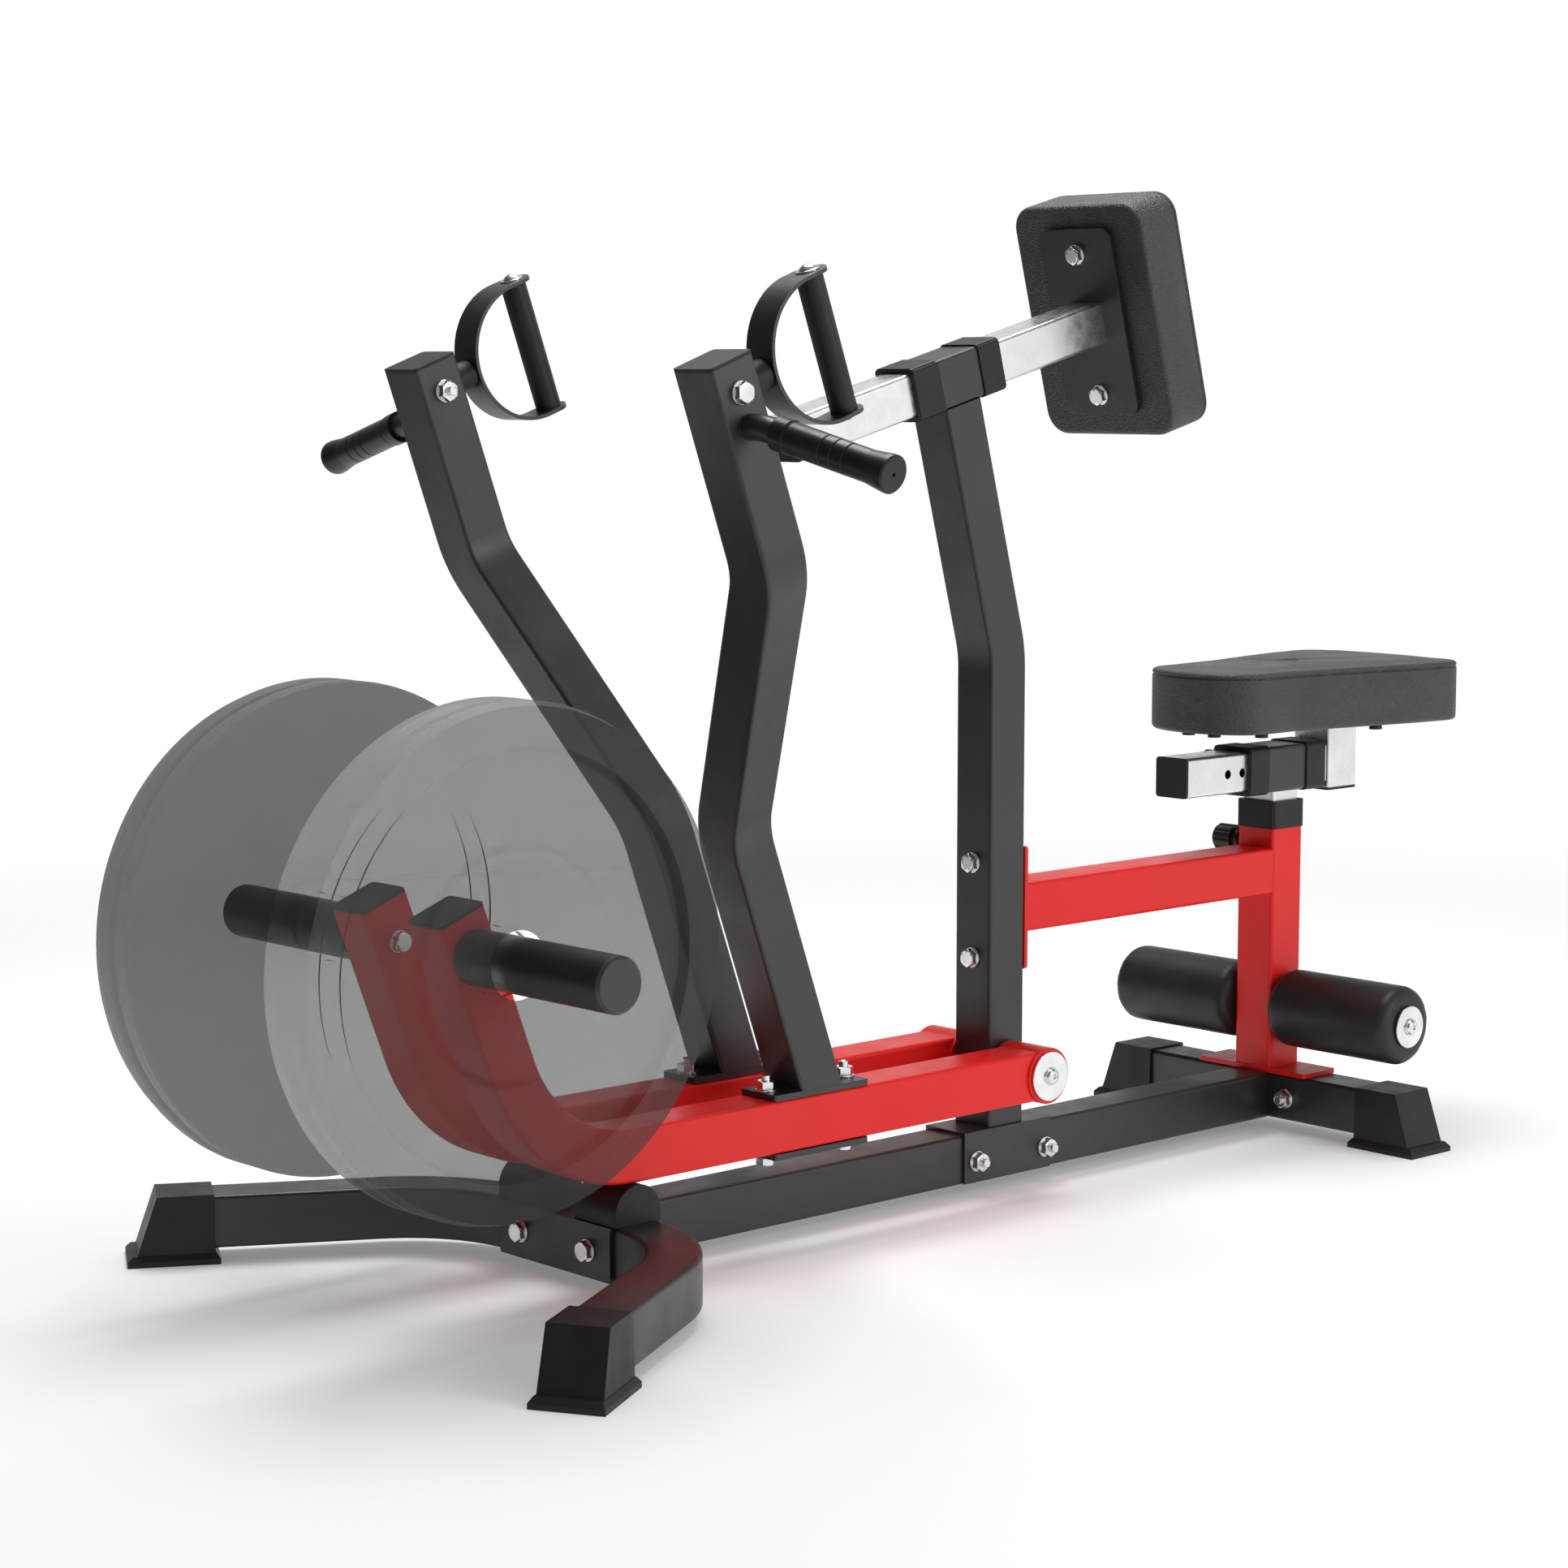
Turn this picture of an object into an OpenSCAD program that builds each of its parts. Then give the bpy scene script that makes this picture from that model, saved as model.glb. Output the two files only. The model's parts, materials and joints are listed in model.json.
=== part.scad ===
// Plate-loaded lever row: floor frame, leaning mast with a sliding chest pad, adjustable seat,
// two independent levers with handle arms, swivelling D-handles and see-through weight plates.
// +X points to the seat, +Y to the user's right, +Z up. The origin is on the floor, in the mirror
// plane, halfway along the whole machine.

/* [Tubes] */
// Side of the square frame tubes
tube = 50; // [48:1:52]
// Wall of the square frame tubes
wall = 2.5; // [2:0.1:3]
// Side of the sliding inner tubes
inner_tube = 43; // [42:0.5:44]
// Outer corner radius of the square tubes
corner = 4; // [3:0.5:5]
// Outer side of the plastic collars
collar = 53.5; // [53:0.5:56]

/* [Floor frame] */
// Height of the underside of the floor tubes
ground_gap = 13; // [10:1:16]
// X of the front crossbar's middle
front_x = -391; // [-400:1:-385]
// X of the rear crossbar and the seat post
rear_x = 589.5; // [585:0.5:595]
// Half length of the front crossbar's straight middle
front_half = 79.4; // [70:1:90]
// Centreline radius of the front crossbar's bends
front_bend = 150; // [140:5:170]
// Length of the front crossbar's legs past the bends
front_leg = 201; // [190:1:220]
// Half length of the rear crossbar, without its feet
rear_half = 192; // [180:1:220]

/* [Mast] */
// X of the upright mast
mast_x = 148.5; // [145:0.5:152]
// Height of the mast's bend
mast_knee = 548; // [530:1:560]
// Forward lean of the upper mast
mast_lean = 15; // [10:1:20]
// Distance from the knee to the chest tube's axis
mast_top = 281.5; // [270:0.5:290]
// Length of the chest pad's square tube
chest_tube_len = 434; // [400:2:460]
// Height, width and thickness of the chest pad
chest_pad_size = [242, 176, 61]; // [50:1:300]

/* [Levers] */
// Height of the lever's axis above the floor
lever_z = 125; // [120:1:130]
// Distance of each lever's middle from the mirror plane
lever_y = 56.5; // [55:0.5:60]
// Centreline radius of the lever's upturned end
lever_bend = 145; // [130:5:150]
// Forward lean of the lever's upturned end
lever_lean = 20.75; // [15:0.05:25]
// Length of the lever's straight upturned end
lever_end = 154; // [150:1:170]
// Radius of the weight sleeves
sleeve_r = 24.75; // [24:0.05:25]
// Distance from the mirror plane to the weight sleeves' ends
sleeve_reach = 275; // [250:1:300]

/* [Handles] */
// X of the handle arms' feet
arm_x = -159.5; // [-170:0.5:-150]
// Forward lean of the handle arms
arm_lean = 20; // [15:1:25]
// Outward angle of the handle arms' middle
arm_spread = 30; // [25:1:32]
// Height along the arm of its lower and upper bend
arm_knees = [268, 529.5]; // [200:1:600]
// Length along the arm to its top
arm_top = 722; // [710:1:740]
// Diameter of the D-handle's grip
grip_d = 24.5; // [22:0.5:30]
// Outer radius of the D-handle's strap
strap_r = 66; // [60:1:75]

/* [Seat] */
// Height of the seat slide's axis
slide_z = 397.5; // [390:0.5:405]
// Front and rear end of the seat pad
seat_x = [439, 792.5]; // [400:1:820]
// Underside and top of the seat pad
seat_z = [444, 512]; // [430:1:530]
// Half width of the seat pad at its nose, hips and back
seat_half = [75, 106, 111]; // [60:1:130]
// Height of the foam rollers' axis
roller_z = 134; // [125:1:145]
// Radius of the foam rollers
roller_r = 43; // [35:1:50]

/* [Weight plates] */
// Radius of the weight plates
plate_r = 225; // [200:1:228]
// Thickness of one weight plate
plate_t = 26; // [22:1:30]
// Radius of the weight plates' bore
plate_bore_r = 29.8; // [25.2:0.1:32]
// Gap between the two plates of a side
plate_gap = 3.5; // [1:0.5:6]
// Distance from the mirror plane to the innermost plate, left and right
plate_y = [90, 117]; // [86:1:140]

/* [Hidden] */
$fn = 64;

black = [0.10, 0.10, 0.11];
plastic = [0.07, 0.07, 0.08];
red = [0.80, 0.05, 0.04];
zinc = [0.78, 0.79, 0.81];
leather = [0.12, 0.12, 0.13];
ghost = [0.62, 0.62, 0.64, 0.5];

half = tube / 2;
floor_z = ground_gap + half;
slide_gap = 0.3;                              // air between parts that slide
run_gap = 0.06;                               // radial play of a shaft in its bearing
overlap = 0.01;                               // sinks one solid of a part into the next
cap_face = 3;                                 // end wall of a tube's plastic cap
cap_plug = 14;                                // depth of its plug

// Bolts: M10 hexagon bolts with washers, and M8 dome bolts on the handles
bolt_r = 5;
bolt_hole_r = 5.2;
head_r = 9.8;
head_h = 6.5;
nut_h = 8;
stud = 4.5;                                   // thread that stands out of a nut
washer_r = 10.5;
washer_t = 2;
crossbar_bolt_y = 48.5;
crossbar_bolt_z = 37.5;
saddle_bolt_z = 35.5;

// Foot caps: [from, to, width] of the body at the floor and at the top, and of the sole
foot_body = [[0, 75, 59], [0, 53, 56]];
foot_sole = [-5, 81, 67];
foot_sole_top = [-1, 76, 60];
foot_sole_h = 5;
foot_socket = 46;

// Front plate, bumpers and saddle
plate_steel = 4;
front_plate_w = 160;
bumper_y = [27, 85];
bumper_r = 26.5;
bumper_top = lever_z - half - 0.5;
saddle_len = 125;
saddle_t = 3;
saddle_bolt_x = [mast_x - 45.5, mast_x + 54.5];
saddle_top = floor_z + half + saddle_t;

// Mast, link beam and pivot
knee_r = 125;
link_z = 286.25;
flange_x = [mast_x + half + 0.2, mast_x + half + 4.7];
flange_z = [223, 349];
link_bolt_z = [238, 335];
axle_r = 12.5;
axle_half = 84;
spacer_r = 18;
hub_r = 28.5;
hub_y = [28.5, 83.7];
axle_washer_r = 25;
roller_bar_half = 193;
roller_bar_wall = 2.5;
roller_washer_r = 22.5;

// Chest slide, measured along the chest tube from the mast's upper end
collar_front = [-62, -27];
collar_rear = [30, 60];
lip = 2;                                      // end wall of a collar
pad_plate_t = 5;
pad_plate_size = [194, 96];
pad_bolt_p = [353, 206];
chest_pad_a = chest_tube_len / 2 + 2 + pad_plate_t + slide_gap;
pad_insert_depth = 26;                        // threaded hole in a pad's board
pin_r = 5;
barrel_r = 8;
barrel_len = 14;
knob_r = 15;
flutes = 10;                                  // grooves round a knob

// Levers and handle arms
lever_turn = 90 - lever_lean;
bend_end = [front_x - lever_bend * sin(lever_turn), lever_z + lever_bend * (1 - cos(lever_turn))];
sleeve_s = 116;                               // from the bend to the weight sleeve
sleeve_at = bend_end + sleeve_s * [-sin(lever_lean), cos(lever_lean)];
foot_plate = [121, 49, 6];
arm_bolt_x = [arm_x - 50, arm_x + 50];
arm_foot_z = lever_z + half + foot_plate[2];
arm_bend = [100, 80];
arm_rise = arm_knees[1] - arm_knees[0];
handle_y = lever_y + arm_rise * tan(arm_spread);
cross_s = 695;
handle_s = 693;
side_s = 664;
rod_r = 11.5;
rod_root = 10;                                // straight root of the side rod
rod_turn = 15.2;                              // its bend, and the bend's radius
rod_bend_r = 60;
side_grip_len = 131;

// D-handle, measured from the arm's centreline
boss_r = 14.5;
boss_n = 49.7;
strap_t = 3.5;
strap_w = 33;
strap_n = 50;
strap_centre = strap_n + strap_r;
grip_n = 130;
tab_n = 147;
grip_bolt_r = 4;
swivel_bolt_r = 6;

// Seat slide
post_top_z = 360;
post_base = [54, 150, 5];
post_collar = [332, 362];
slide_front = [524, 554.5];
slide_rear = [618, 649.5];
slide_tube_x = [424, 657.5];
seat_upright_mid = 682.5;
seat_upright_z = 370.5;
slide_pin_x = 563.5;
slide_pitch = 24;
slide_stops = 3;
height_pin_z = 313;
height_pitch = 25;
height_stops = 5;
inner_post_bottom = 156;

// A square with round corners, w by h
module round_rect(w, h, r) {
    square([w - 2 * r, h], center = true);
    square([w, h - 2 * r], center = true);
    for (x = [-1, 1], y = [-1, 1])
        translate([x * (w / 2 - r), y * (h / 2 - r)]) circle(r);
}

// Cross-section of a square tube
module tube_section(size, t) {
    difference() {
        round_rect(size, size, corner);
        round_rect(size - 2 * t, size - 2 * t, corner - 2);
    }
}

// Square tube along +X, from the origin
module tube_x(length, size = tube, t = wall) {
    rotate([90, 0, 90]) linear_extrude(length) tube_section(size, t);
}

// Quarter ring or less: the child profile turned left by an angle, starting along +X
module bend(angle, radius) {
    translate([0, radius, 0]) rotate([0, 0, -90])
        rotate_extrude(angle = angle) translate([radius, 0]) children();
}

// Square tube in the XY plane through steps of [length, turn, bend radius]
module tube_run(steps, i = 0) {
    length = steps[i][0];
    turn = abs(steps[i][1]);
    radius = steps[i][2];
    flip = steps[i][1] < 0 ? 1 : 0;
    tube_x(length);
    if (i < len(steps) - 1) {
        translate([length, 0, 0]) mirror([0, flip, 0]) {
            bend(turn, radius) tube_section(tube, wall);
            translate([radius * sin(turn), radius * (1 - cos(turn)), 0]) rotate([0, 0, turn])
                mirror([0, flip, 0]) tube_run(steps, i + 1);
        }
    }
}

// Cylinder along +X, +Y or +Z between two distances from the origin
module rod_x(r, from, to) { translate([from, 0, 0]) rotate([0, 90, 0]) cylinder(r = r, h = to - from); }
module rod_y(r, from, to) { translate([0, from, 0]) rotate([-90, 0, 0]) cylinder(r = r, h = to - from); }
module rod_z(r, from, to) { translate([0, 0, from]) cylinder(r = r, h = to - from); }

// Hexagon bolt along +Z: head below the origin, nut past the gripped length
module hex_bolt(grip, with_nut = true) {
    translate([0, 0, -washer_t]) {
        cylinder(r = washer_r, h = washer_t);
        translate([0, 0, -head_h]) cylinder(r = head_r, h = head_h + 0.01, $fn = 6);
    }
    cylinder(r = bolt_r, h = grip + (with_nut ? washer_t + nut_h + stud : 0));
    if (with_nut) translate([0, 0, grip]) {
        cylinder(r = washer_r, h = washer_t);
        translate([0, 0, washer_t - 0.01]) cylinder(r = head_r, h = nut_h, $fn = 6);
    }
}

// Block that narrows from a wide bottom to a narrow top, both [x from, x to, width]
module wedge(bottom, top, height) {
    skin = 0.01;
    hull() {
        translate([bottom[0], -bottom[2] / 2, 0]) cube([bottom[1] - bottom[0], bottom[2], skin]);
        translate([top[0], -top[2] / 2, height - skin]) cube([top[1] - top[0], top[2], skin]);
    }
}

// Foot cap on a tube that ends along +X, standing on the floor; x = 0 is the cap's inner end
module foot_cap() {
    socket = tube + 0.4;
    color(plastic) difference() {
        union() {
            wedge(foot_body[0], foot_body[1], floor_z + half + 2);
            wedge(foot_sole, foot_sole, foot_sole_h);
            translate([0, 0, foot_sole_h]) wedge(foot_sole, foot_sole_top, foot_sole_h);
        }
        translate([foot_sole[0] - 1, -socket / 2, floor_z - socket / 2])
            cube([foot_socket - foot_sole[0] + 1.2, socket, socket]);
    }
}

// Places children on the user's left (-1) or right (+1)
module on_side(side) {
    mirror([0, side < 0 ? 1 : 0, 0]) children();
}

// ---- Floor frame ----

module crossbar_bolt_holes() {
    for (y = [-crossbar_bolt_y, crossbar_bolt_y])
        translate([0, y, crossbar_bolt_z]) rod_x(bolt_hole_r, -tube, tube);
}

module front_crossbar() {
    color(black) difference() {
        translate([front_x, 0, floor_z]) for (side = [-1, 1]) on_side(side)
            rotate([0, 0, 90]) tube_run([[front_half, 60, front_bend], [front_leg, 0, 0]]);
        translate([front_x, 0, 0]) crossbar_bolt_holes();
    }
}

module front_feet() {
    inner_end = front_leg - foot_socket;
    for (side = [-1, 1]) on_side(side)
        translate([front_x - front_bend, front_half, 0]) rotate([0, 0, 60])
            translate([front_bend, 0, 0]) rotate([0, 0, 90]) translate([inner_end, 0, 0]) foot_cap();
}

module front_plate() {
    color(black) difference() {
        translate([front_x - half - plate_steel, -front_plate_w / 2, ground_gap - 1])
            cube([plate_steel, front_plate_w, tube + 1]);
        translate([front_x, 0, 0]) crossbar_bolt_holes();
    }
}

module lever_bumpers() {
    base_z = floor_z + half;
    color(plastic) for (side = [-1, 1]) on_side(side) {
        translate([front_x - bumper_r, bumper_y[0], base_z])
            cube([2 * bumper_r, bumper_y[1] - bumper_y[0], bumper_top - bumper_r - base_z]);
        translate([front_x, 0, bumper_top - bumper_r]) difference() {
            rod_y(bumper_r, bumper_y[0], bumper_y[1]);
            translate([-tube, 0, -tube]) cube([2 * tube, 2 * tube, tube - overlap]);
        }
    }
}

module main_beam() {
    from = front_x + half;
    color(black) difference() {
        translate([from, 0, floor_z]) tube_x(rear_x - half - from);
        saddle_bolt_holes();
    }
}

module rear_crossbar() {
    color(black) difference() {
        translate([rear_x, -rear_half, floor_z]) rotate([0, 0, 90]) tube_x(2 * rear_half);
        translate([rear_x, 0, 0]) crossbar_bolt_holes();
    }
}

module rear_feet() {
    for (side = [-1, 1]) on_side(side)
        translate([rear_x, rear_half - foot_socket, 0]) rotate([0, 0, 90]) foot_cap();
}

module frame_bolts() {
    front_grip = tube + plate_steel;
    color(zinc) {
        for (y = [-crossbar_bolt_y, crossbar_bolt_y]) {
            translate([front_x - half - plate_steel, y, crossbar_bolt_z])
                rotate([0, 90, 0]) hex_bolt(front_grip);
            translate([rear_x + half, y, crossbar_bolt_z]) rotate([0, -90, 0]) hex_bolt(tube);
        }
        for (x = saddle_bolt_x) translate([x, half + saddle_t, saddle_bolt_z])
            rotate([90, 0, 0]) hex_bolt(tube + 2 * saddle_t);
        for (z = link_bolt_z) translate([mast_x - half, 0, z])
            rotate([0, 90, 0]) hex_bolt(flange_x[1] - mast_x + half);
    }
}

module saddle_bolt_holes() {
    for (x = saddle_bolt_x) translate([x, 0, saddle_bolt_z]) rod_y(bolt_hole_r, -tube, tube);
}

module post_saddle() {
    width = tube + 2 * saddle_t;
    air = 0.05;
    bottom = ground_gap + 0.7;
    color(black) difference() {
        translate([mast_x - saddle_len / 2, -width / 2, bottom])
            cube([saddle_len, width, saddle_top - bottom]);
        translate([mast_x - saddle_len, -half - air, 0])
            cube([2 * saddle_len, tube + 2 * air, floor_z + half + air]);
        saddle_bolt_holes();
    }
}

// ---- Mast and chest slide ----

// Moves to the upper mast's frame: +X along the chest tube, +Z up the leaning mast
module at_knee() {
    translate([mast_x, 0, mast_knee]) rotate([0, -mast_lean, 0]) children();
}

module mast() {
    tangent = knee_r * tan(mast_lean / 2);
    sleeve_from = collar_front[0] + lip;
    sleeve_to = collar_rear[1] - lip;
    lower = mast_knee - tangent - saddle_top;
    upper = mast_top - half - tangent;
    color(black) difference() {
        union() {
            translate([mast_x, 0, saddle_top]) rotate([90, 0, 0]) rotate([0, 0, 90])
                tube_run([[lower, mast_lean, knee_r], [upper, 0, 0]]);
            at_knee() translate([0, 0, mast_top]) {
                translate([sleeve_from, 0, 0]) tube_x(sleeve_to - sleeve_from);
                pin_barrel();
            }
        }
        for (z = link_bolt_z) translate([mast_x, 0, z]) rod_x(bolt_hole_r, -tube, tube);
        translate([mast_x, 0, lever_z]) rod_y(axle_r + 0.1, -tube, tube);
        at_knee() translate([0, 0, mast_top]) pin_bore();
    }
}

// Plastic collar on a sleeve's end: [from, to] along X, with its end wall at the "lip_end" side
module slide_collar(from, to, lip_at_start) {
    skirt_from = lip_at_start ? from + lip : from - 1;
    skirt_to = lip_at_start ? to + 1 : to - lip;
    socket = tube + 0.4;
    opening = inner_tube + 2 * slide_gap;
    difference() {
        rotate([90, 0, 90]) translate([0, 0, from]) linear_extrude(to - from)
            round_rect(collar, collar, corner + 2);
        translate([skirt_from, -socket / 2, -socket / 2]) cube([skirt_to - skirt_from, socket, socket]);
        translate([from - 1, -opening / 2, -opening / 2]) cube([to - from + 2, opening, opening]);
    }
}

module mast_collars() {
    color(plastic) at_knee() translate([0, 0, mast_top]) {
        slide_collar(collar_front[0], collar_front[1], true);
        slide_collar(collar_rear[0], collar_rear[1], false);
    }
}

module chest_tube() {
    color(zinc) at_knee() translate([-chest_tube_len / 2 - 1, 0, mast_top])
        tube_x(chest_tube_len + 3, inner_tube, 2);
}

module chest_plate() {
    color(black) at_knee() difference() {
        translate([chest_tube_len / 2 + 2, 0, mast_top]) rotate([90, 0, 90])
            linear_extrude(pad_plate_t) round_rect(pad_plate_size[1], pad_plate_size[0], 12);
        for (p = pad_bolt_p) translate([chest_tube_len / 2, 0, p]) rod_x(bolt_hole_r, 0, tube);
    }
}

module chest_cap() {
    front = -chest_tube_len / 2 - 1;
    plug = inner_tube - 5;
    color(plastic) at_knee() translate([front, 0, mast_top]) rotate([90, 0, 90]) {
        translate([0, 0, -cap_face]) linear_extrude(cap_face)
            round_rect(inner_tube, inner_tube, corner);
        translate([0, 0, -overlap]) linear_extrude(cap_plug) round_rect(plug, plug, 2);
    }
}

module chest_pad() {
    color(leather) at_knee() translate([chest_pad_a, 0, mast_top]) difference() {
        rotate([90, 0, 90]) linear_extrude(chest_pad_size[2])
            round_rect(chest_pad_size[1], chest_pad_size[0], 25);
        for (p = pad_bolt_p)
            translate([0, 0, p - mast_top]) rod_x(bolt_hole_r, -1, pad_insert_depth);
    }
}

module chest_bolts() {
    grip = pad_plate_t + pad_insert_depth - 2;
    color(zinc) at_knee() for (p = pad_bolt_p)
        translate([chest_tube_len / 2 + 2, 0, p]) rotate([0, 90, 0]) hex_bolt(grip, false);
}

// Threaded barrel that guides a pull pin through the +Y wall of a square tube
module pin_barrel() { rod_y(barrel_r, half - wall, half + barrel_len); }
module pin_bore() { rod_y(pin_r + slide_gap, 0, half + barrel_len + 1); }

// Spring pull pin along +Y: fluted knob and pin, its tip held clear of the inner tube
module pull_pin() {
    neck_from = half + barrel_len + slide_gap;
    knob_from = half + 22;
    knob_to = half + 48;
    edge = 3;
    flute_r = 2.6;
    rod_y(pin_r, inner_tube / 2 + slide_gap, knob_to - edge);
    difference() {
        union() {
            rod_y(knob_r, knob_from, knob_to - edge);
            translate([0, knob_to - edge, 0]) rotate([-90, 0, 0])
                cylinder(r1 = knob_r, r2 = knob_r - edge, h = edge);
            rod_y(knob_r - 4, neck_from, knob_from);
        }
        for (i = [0 : flutes - 1]) rotate([0, 360 / flutes * i, 0]) translate([knob_r + 1, 0, 0])
            rod_y(flute_r, knob_from - 1, knob_to + 1);
    }
}

module chest_pin() {
    color(plastic) at_knee() translate([0, 0, mast_top]) pull_pin();
}

// ---- Link beam and seat post ----

module link_beam() {
    height = flange_z[1] - flange_z[0];
    middle_z = (flange_z[0] + flange_z[1]) / 2;
    color(red) difference() {
        union() {
            translate([flange_x[1], 0, link_z]) tube_x(rear_x - half - flange_x[1]);
            translate([flange_x[0], 0, middle_z]) rotate([90, 0, 90])
                linear_extrude(flange_x[1] - flange_x[0]) round_rect(tube, height, 4);
        }
        for (z = link_bolt_z) translate([mast_x, 0, z]) rod_x(bolt_hole_r, 0, tube);
    }
}

module seat_post() {
    base_z = floor_z + half;
    foot_z = base_z + post_base[2];
    color(red) difference() {
        union() {
            translate([rear_x, 0, base_z]) linear_extrude(post_base[2])
                round_rect(post_base[0], post_base[1], 3);
            translate([rear_x, 0, foot_z]) linear_extrude(post_top_z - foot_z)
                tube_section(tube, wall);
            translate([rear_x, 0, height_pin_z]) pin_barrel();
        }
        translate([rear_x, 0, roller_z]) rod_y(axle_r + 0.2, -tube, tube);
        translate([rear_x, 0, height_pin_z]) pin_bore();
    }
}

module seat_post_collar() {
    color(plastic) translate([rear_x, 0, 0]) rotate([0, -90, 0])
        slide_collar(post_collar[0], post_collar[1], false);
}

module roller_bar() {
    color(zinc) translate([rear_x, 0, roller_z]) difference() {
        rod_y(axle_r, -roller_bar_half, roller_bar_half);
        rod_y(axle_r - roller_bar_wall, -roller_bar_half - 1, roller_bar_half + 1);
    }
}

module foam_roller() {
    round_r = 9;
    from = half + 4;
    to = roller_bar_half - 1;
    color(plastic) translate([rear_x, 0, roller_z]) difference() {
        union() {
            rod_y(roller_r - round_r, from, to);
            rod_y(roller_r, from + round_r, to - round_r);
            for (y = [from + round_r, to - round_r]) translate([0, y, 0]) rotate([90, 0, 0])
                rotate_extrude() translate([roller_r - round_r, 0]) circle(round_r);
        }
        rod_y(axle_r + run_gap, 0, to + 1);
    }
}

module foam_roller_left() { on_side(-1) foam_roller(); }
module foam_roller_right() { foam_roller(); }

module height_pin() {
    color(plastic) translate([rear_x, 0, height_pin_z]) pull_pin();
}

// ---- Pivot ----

module pivot_axle() {
    color(zinc) translate([mast_x, 0, lever_z]) {
        rod_y(axle_r, -axle_half, axle_half);
        for (side = [-1, 1]) on_side(side) rod_y(spacer_r, half + 0.1, hub_y[0] - 0.2);
    }
}

// Washer disc and button head on the end of an axle along +Y
module end_washer(r, y) {
    disc_t = 3;
    small_r = 9;
    small_t = 2;
    button_r = [8, 4.5];
    button_h = 3.5;
    translate([0, y, 0]) {
        rod_y(r, 0, disc_t);
        rod_y(small_r, disc_t - 0.1, disc_t + small_t);
        translate([0, disc_t + small_t - 0.1, 0]) rotate([-90, 0, 0])
            cylinder(r1 = button_r[0], r2 = button_r[1], h = button_h);
    }
}

module axle_washers() {
    color(zinc) for (side = [-1, 1]) on_side(side) {
        translate([mast_x, 0, lever_z]) end_washer(axle_washer_r, axle_half);
        translate([rear_x, 0, roller_z]) end_washer(roller_washer_r, roller_bar_half);
    }
}

// ---- Levers ----

// Bolt holes of the handle arm's foot, through plate, lever and clamp
module arm_bolt_holes() {
    for (x = arm_bolt_x) translate([x, lever_y, 0]) rod_z(bolt_hole_r, 80, 180);
}

module lever_side() {
    straight = mast_x - front_x;
    color(red) difference() {
        union() {
            difference() {
                translate([mast_x, lever_y, lever_z]) rotate([0, 0, 180]) rotate([90, 0, 0])
                    tube_run([[straight, lever_turn, lever_bend], [lever_end, 0, 0]]);
                translate([mast_x, 0, lever_z]) rod_y(hub_r - 2, 0, 90);
            }
            translate([mast_x, 0, lever_z]) rod_y(hub_r, hub_y[0], hub_y[1]);
        }
        translate([mast_x, 0, lever_z]) rod_y(axle_r + run_gap, 0, 90);
        arm_bolt_holes();
        translate([sleeve_at[0], 0, sleeve_at[1]]) rod_y(bolt_hole_r, 0, 90);
    }
}

module weight_sleeve() {
    from = lever_y + half;
    edge = 3;
    wall_end = 8;
    color(black) translate([sleeve_at[0], 0, sleeve_at[1]]) difference() {
        union() {
            rod_y(sleeve_r, from, sleeve_reach - edge);
            translate([0, sleeve_reach - edge, 0]) rotate([-90, 0, 0])
                cylinder(r1 = sleeve_r, r2 = sleeve_r - edge, h = edge);
        }
        rod_y(sleeve_r - edge, from + wall_end, sleeve_reach - 2 * edge);
        rod_y(bolt_hole_r, 0, from + wall_end + 1);
    }
}

// Frame of a handle arm: +X along the arm, +Y outward, +Z towards the front
module at_arm() {
    translate([arm_x, 0, arm_foot_z]) rotate([0, -90 - arm_lean, 0]) children();
}

module handle_arm() {
    inset = 20;
    slant = arm_rise / cos(arm_spread);
    cut = [for (r = arm_bend) r * tan(arm_spread / 2)];
    color(black) difference() {
        union() {
            difference() {
                at_arm() translate([-inset, lever_y, 0]) tube_run([
                    [inset + arm_knees[0] - cut[0], arm_spread, arm_bend[0]],
                    [slant - cut[0] - cut[1], -arm_spread, arm_bend[1]],
                    [arm_top - arm_knees[1] - cut[1], 0, 0]
                ]);
                translate([arm_x - 100, 0, arm_foot_z - 60]) cube([200, 100, 60]);
            }
            translate([arm_x, lever_y, lever_z + half]) linear_extrude(foot_plate[2])
                round_rect(foot_plate[0], foot_plate[1], 3);
            at_arm() side_rod();
        }
        arm_bolt_holes();
        at_arm() {
            translate([cross_s, 0, 0]) rod_y(bolt_hole_r, 100, 300);
            translate([handle_s, handle_y, 0]) rod_z(boss_r - 2.9, -half - 1, 0);
        }
    }
}

// Moves to the end of the side rod's straight root: +X along the root
module at_side_root() {
    translate([side_s, handle_y + half - wall + rod_root, 0]) rotate([0, 0, 90]) children();
}

// Moves past the side rod's bend: +X along its free end
module at_side_rod() {
    at_side_root() translate([rod_bend_r * sin(rod_turn), rod_bend_r * (1 - cos(rod_turn)), 0])
        rotate([0, 0, rod_turn]) children();
}

// Round rod that carries the side grip, bent down a little at its root
module side_rod() {
    at_side_root() {
        rod_x(rod_r, -rod_root, 0);
        bend(rod_turn, rod_bend_r) circle(rod_r);
    }
    at_side_rod() rod_x(rod_r, 0, side_grip_len);
}

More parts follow.
